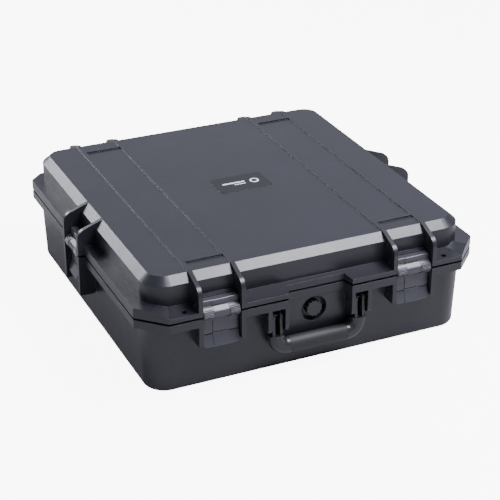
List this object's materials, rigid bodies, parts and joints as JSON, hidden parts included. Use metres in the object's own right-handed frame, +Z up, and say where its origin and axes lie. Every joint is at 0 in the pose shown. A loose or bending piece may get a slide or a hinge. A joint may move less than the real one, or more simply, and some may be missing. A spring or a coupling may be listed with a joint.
{
  "type": "hard carrying case",
  "caption": "Black hard carrying case for a drone, with hinged ribbed lid, press-and-pull latches, folding handle, pressure valve and cut foam inside",
  "frame": {"origin": "centre of the closed case's box, on the floor it stands on", "axes": "+X right, +Y to the rear hinges, +Z up; the handle is at -Y"},
  "size_m": [0.5918, 0.5918, 0.1902],
  "materials": {
    "case_plastic": "satin black, fine moulded texture",
    "latch_plastic": "satin black",
    "trim_plastic": "satin black",
    "grip_rubber": "matt overmoulded rubber",
    "seal_rubber": "matt",
    "plate": "satin",
    "steel": "ground rod",
    "dark_steel": "blackened rod",
    "foam": "open-cell foam"
  },
  "bodies": {
    "base": {"base_shell": "case_plastic", "base_foam_floor": "foam", "base_foam_insert": "foam", "hinge_pin_left": "steel", "hinge_pin_right": "steel", "handle_pin_left": "dark_steel", "handle_pin_right": "dark_steel", "valve_body": "trim_plastic", "valve_oring": "seal_rubber", "valve_nut": "trim_plastic"},
    "lid": {"lid_shell": "case_plastic", "lid_seal": "seal_rubber", "lid_foam": "foam", "nameplate": "plate", "front_left_latch_pin": "steel", "front_right_latch_pin": "steel", "left_side_latch_pin": "steel", "right_side_latch_pin": "steel"},
    "handle": {"handle_frame": "trim_plastic", "handle_grip": "grip_rubber"},
    "valve_knob": {"valve_knob": "trim_plastic"},
    "front_left_latch": {"front_left_latch_body": "latch_plastic", "front_left_button_pin": "steel", "front_left_button_spring": "steel"},
    "front_left_button": {"front_left_latch_button": "latch_plastic"},
    "front_right_latch": {"front_right_latch_body": "latch_plastic", "front_right_button_pin": "steel", "front_right_button_spring": "steel"},
    "front_right_button": {"front_right_latch_button": "latch_plastic"},
    "left_side_latch": {"left_side_latch_body": "latch_plastic", "left_side_button_pin": "steel", "left_side_button_spring": "steel"},
    "left_side_button": {"left_side_latch_button": "latch_plastic"},
    "right_side_latch": {"right_side_latch_body": "latch_plastic", "right_side_button_pin": "steel", "right_side_button_spring": "steel"},
    "right_side_button": {"right_side_latch_button": "latch_plastic"}
  },
  "joints": [
    {"name": "lid_hinge", "type": "hinge", "parent": "base", "child": "lid", "pos_m": [0, 0.2884, 0.1305], "axis": [-1, 0, 0], "range_deg": [0, 100]},
    {"name": "handle_pivot", "type": "hinge", "parent": "base", "child": "handle", "pos_m": [0, -0.282, 0.101], "axis": [-1, 0, 0], "range_deg": [0, 95]},
    {"name": "valve_turn", "type": "hinge", "parent": "base", "child": "valve_knob", "pos_m": [0, -0.266, 0.0915], "axis": [0, -1, 0], "range_deg": [0, 270]},
    {"name": "front_left_latch_swing", "type": "hinge", "parent": "lid", "child": "front_left_latch", "pos_m": [-0.161, -0.2785, 0.145], "axis": [-1, 0, 0], "range_deg": [0, 110]},
    {"name": "front_left_button_press", "type": "hinge", "parent": "front_left_latch", "child": "front_left_button", "pos_m": [-0.161, -0.2825, 0.103], "axis": [-1, 0, 0], "range_deg": [0, 3], "stiffness_Nm_per_rad": 0.8, "springref_deg": -5.73},
    {"name": "front_right_latch_swing", "type": "hinge", "parent": "lid", "child": "front_right_latch", "pos_m": [0.161, -0.2785, 0.145], "axis": [-1, 0, 0], "range_deg": [0, 110]},
    {"name": "front_right_button_press", "type": "hinge", "parent": "front_right_latch", "child": "front_right_button", "pos_m": [0.161, -0.2825, 0.103], "axis": [-1, 0, 0], "range_deg": [0, 3], "stiffness_Nm_per_rad": 0.8, "springref_deg": -5.73},
    {"name": "left_side_latch_swing", "type": "hinge", "parent": "lid", "child": "left_side_latch", "pos_m": [-0.2785, 0, 0.145], "axis": [0, 1, 0], "range_deg": [0, 110]},
    {"name": "left_side_button_press", "type": "hinge", "parent": "left_side_latch", "child": "left_side_button", "pos_m": [-0.2825, 0, 0.103], "axis": [0, 1, 0], "range_deg": [0, 3], "stiffness_Nm_per_rad": 0.8, "springref_deg": -5.73},
    {"name": "right_side_latch_swing", "type": "hinge", "parent": "lid", "child": "right_side_latch", "pos_m": [0.2785, 0, 0.145], "axis": [0, -1, 0], "range_deg": [0, 110]},
    {"name": "right_side_button_press", "type": "hinge", "parent": "right_side_latch", "child": "right_side_button", "pos_m": [0.2825, 0, 0.103], "axis": [0, -1, 0], "range_deg": [0, 3], "stiffness_Nm_per_rad": 0.8, "springref_deg": -5.73}
  ]
}
